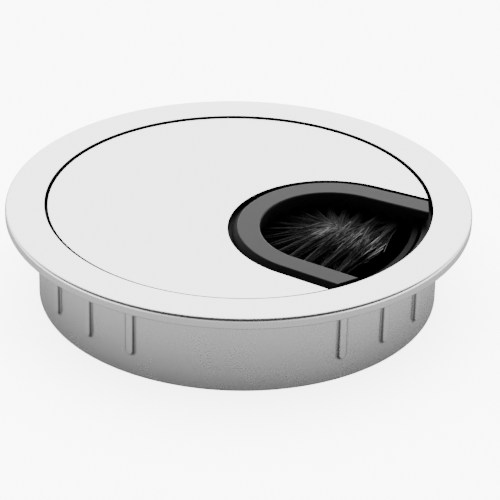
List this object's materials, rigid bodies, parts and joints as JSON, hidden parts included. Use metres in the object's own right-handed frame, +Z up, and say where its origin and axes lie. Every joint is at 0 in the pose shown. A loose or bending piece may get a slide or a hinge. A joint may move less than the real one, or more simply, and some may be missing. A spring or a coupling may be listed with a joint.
{
  "type": "desk cable grommet",
  "caption": "Round flanged cable grommet for a desk hole, with a flat lid that turns and lifts out and a brush-lined U-shaped cable outlet.",
  "frame": {"origin": "centre of the circle of the sleeve's bottom edge, on the level that the sleeve stands on", "axes": "+Z up out of the desk along the sleeve's axis; at rest the lid's outlet points 29 degrees from +X towards -Y"},
  "size_m": [0.092, 0.092, 0.0197],
  "materials": {
    "plated_zinc": "zinc casting, brushed and plated to a soft satin shine",
    "black_acetal": "black acetal, as moulded",
    "black_abs": "black moulded plastic with a fine satin texture",
    "black_pp": "black moulded plastic, dull",
    "anchor_wire": "drawn flat wire, cut ends",
    "black_nylon": "glossy black nylon filament"
  },
  "bodies": {
    "sleeve": {"sleeve": "plated_zinc"},
    "swivel": {"glide_ring": "black_acetal"},
    "lid": {"cover": "plated_zinc", "insert_frame": "black_abs", "retainer_plate": "black_abs", "brush_strip": "black_pp", "tuft_anchors": "anchor_wire", "tuft_01": "black_nylon", "tuft_02": "black_nylon", "tuft_03": "black_nylon", "tuft_04": "black_nylon", "tuft_05": "black_nylon", "tuft_06": "black_nylon", "tuft_07": "black_nylon", "tuft_08": "black_nylon", "tuft_09": "black_nylon", "tuft_10": "black_nylon", "tuft_11": "black_nylon", "tuft_12": "black_nylon", "tuft_13": "black_nylon", "tuft_14": "black_nylon", "tuft_15": "black_nylon", "tuft_16": "black_nylon", "tuft_17": "black_nylon"}
  },
  "joints": [
    {"name": "lid_turn", "type": "hinge", "parent": "sleeve", "child": "swivel", "pos_m": [0, 0, 0.0164], "axis": [0, 0, 1], "continuous": true},
    {"name": "lid_lift", "type": "slide", "parent": "swivel", "child": "lid", "axis": [0, 0, 1], "range_m": [0, 0.02]}
  ]
}
